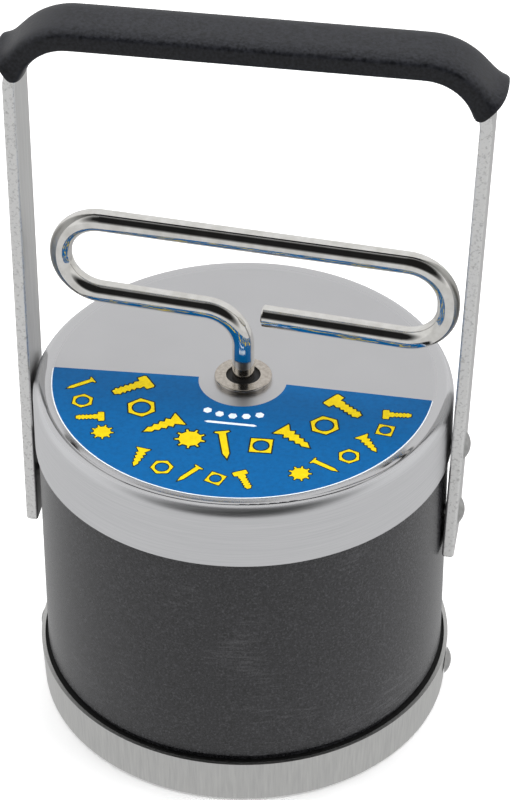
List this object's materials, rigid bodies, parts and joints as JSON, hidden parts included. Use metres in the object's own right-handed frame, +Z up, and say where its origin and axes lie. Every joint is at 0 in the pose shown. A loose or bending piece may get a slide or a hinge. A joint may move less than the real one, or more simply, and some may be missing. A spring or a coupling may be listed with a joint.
{
  "type": "magnetic nail sweeper",
  "caption": "Hand-held magnetic pick-up: round canister on a bail handle, with a wire loop that lifts the magnets off the working face to drop the load.",
  "frame": {"origin": "middle of the pan's underside, the working face, on the canister's axis", "axes": "+Z up the canister's axis, X across the two legs of the bail, the label's side faces -Y"},
  "size_m": [0.1395, 0.123, 0.2233],
  "materials": {
    "cap_steel": "mirror-bright top, satin skirt",
    "tube_plastic": "semi-gloss charcoal with a fine speckle",
    "pan_aluminium": "satin, faint drawing marks",
    "black_rubber": "matt black",
    "label_vinyl": "blue printed vinyl",
    "bail_aluminium": "mill finish",
    "grip_vinyl": "black vinyl with a soft sheen",
    "rivet_aluminium": "as headed",
    "bushing_nickel": "bright nickel",
    "black_nylon": "matt black nylon",
    "zinc_steel": "zinc plated",
    "plate_steel": "plain mild steel",
    "ferrite": "ground ferrite",
    "rod_nickel": "bright nickel plate",
    "black_oxide_steel": "black oxide"
  },
  "bodies": {
    "canister": {"top_cap": "cap_steel", "body_tube": "tube_plastic", "bottom_pan": "pan_aluminium", "pan_gasket": "black_rubber", "top_label": "label_vinyl", "bail_handle": "bail_aluminium", "grip_sleeve": "grip_vinyl", "bail_rivets": "rivet_aluminium", "bail_rivet_burrs": "rivet_aluminium", "pan_rivets": "rivet_aluminium", "pan_rivet_burrs": "rivet_aluminium", "cap_bushing": "bushing_nickel", "rod_guide": "black_nylon", "bushing_washer": "zinc_steel", "bushing_nut": "zinc_steel"},
    "magnet_carrier": {"backing_plate": "plate_steel", "lower_magnet": "ferrite", "upper_magnet": "ferrite", "centre_pole": "plate_steel", "pole_screws": "zinc_steel", "guide_band": "black_nylon"},
    "release_handle": {"release_rod": "rod_nickel", "rod_collar": "zinc_steel", "collar_set_screw": "black_oxide_steel", "lift_bumper": "black_rubber", "upper_thrust_washer": "zinc_steel", "lower_thrust_washer": "zinc_steel", "rod_end_nut": "zinc_steel"}
  },
  "joints": [
    {"name": "magnet_lift", "type": "slide", "parent": "canister", "child": "magnet_carrier", "axis": [0, 0, 1], "range_m": [0, 0.045]},
    {"name": "loop_swivel", "type": "hinge", "parent": "magnet_carrier", "child": "release_handle", "pos_m": [0, 0, 0.13], "axis": [0, 0, 1], "range_deg": [-164.5, 171]}
  ]
}
